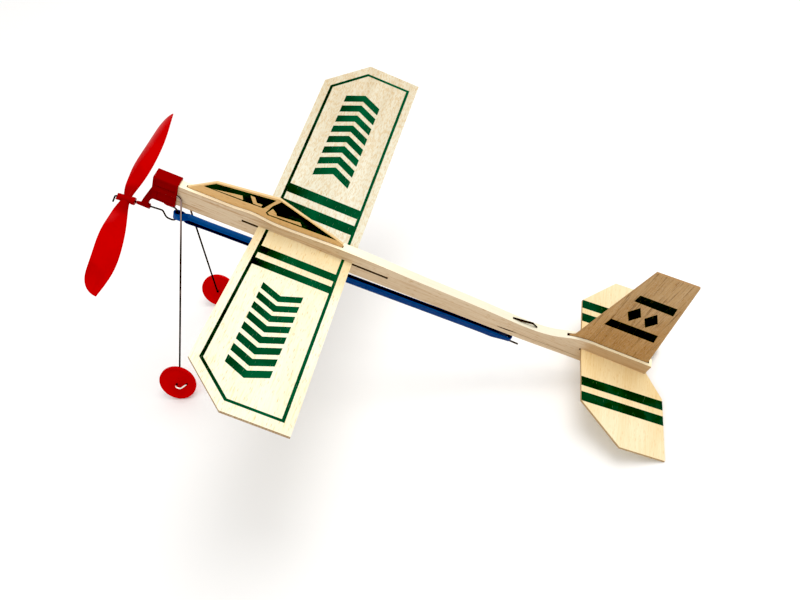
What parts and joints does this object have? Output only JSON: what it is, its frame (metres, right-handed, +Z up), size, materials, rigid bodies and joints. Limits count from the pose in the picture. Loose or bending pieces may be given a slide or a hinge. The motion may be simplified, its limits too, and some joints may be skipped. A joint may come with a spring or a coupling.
{
  "type": "rubber band plane",
  "caption": "Rubber-powered balsa stick plane with sheet wing and tail, plastic propeller and nose bearing, wire undercarriage and wheels, standing on its wheels and tail.",
  "frame": {"origin": "on the floor under the middle of the bounding box, the plane standing on both wheels and its left tailplane tip", "axes": "+X toward the propeller along the floor, +Y toward the left wing tip, +Z up; the stick is pitched nose-up by 27.88 degrees"},
  "size_m": [0.3686, 0.3054, 0.1698],
  "materials": {
    "balsa": "unfinished sanded balsa with dark green ink printing",
    "red_plastic": "moulded, semi-gloss",
    "steel_wire": "drawn music wire, dull",
    "blue_rubber": "smooth strip rubber"
  },
  "bodies": {
    "airframe": {"fuselage_stick": "balsa", "tailplane": "balsa", "tail_fin": "balsa", "canopy_panel": "balsa", "nose_bearing": "red_plastic", "landing_gear_wire": "steel_wire", "motor_hook": "steel_wire"},
    "wing": {"main_wing": "balsa"},
    "propeller_set": {"propeller": "red_plastic", "propeller_shaft": "steel_wire"},
    "rubber": {"rubber_motor": "blue_rubber"},
    "wheel_left": {"wheel_left": "red_plastic"},
    "wheel_right": {"wheel_right": "red_plastic"}
  },
  "joints": [
    {"name": "propeller_spin", "type": "hinge", "parent": "airframe", "child": "propeller_set", "pos_m": [0.17064, 0, 0.14681], "axis": [0.9312, 0, 0.3646], "continuous": true},
    {"name": "motor_wind", "type": "hinge", "parent": "airframe", "child": "rubber", "pos_m": [0.13961, 0, 0.13457], "axis": [0.8977, 0, 0.4407], "continuous": true, "deforming": ["rubber_motor"]},
    {"name": "wheel_left_spin", "type": "hinge", "parent": "airframe", "child": "wheel_left", "pos_m": [0.16697, 0.0461, 0.01306], "axis": [-0.1676, 0.9336, 0.3168], "continuous": true},
    {"name": "wheel_right_spin", "type": "hinge", "parent": "airframe", "child": "wheel_right", "pos_m": [0.1709, -0.0461, 0.0131], "axis": [-0.1676, 0.9336, 0.3168], "continuous": true},
    {"name": "wing_slide", "type": "slide", "parent": "airframe", "child": "wing", "axis": [0.8839, 0, 0.4677], "range_m": [-0.0245, 0.0105]}
  ],
  "couplings": [
    {"joint": "motor_wind", "follows": "propeller_spin", "ratio": 1}
  ]
}
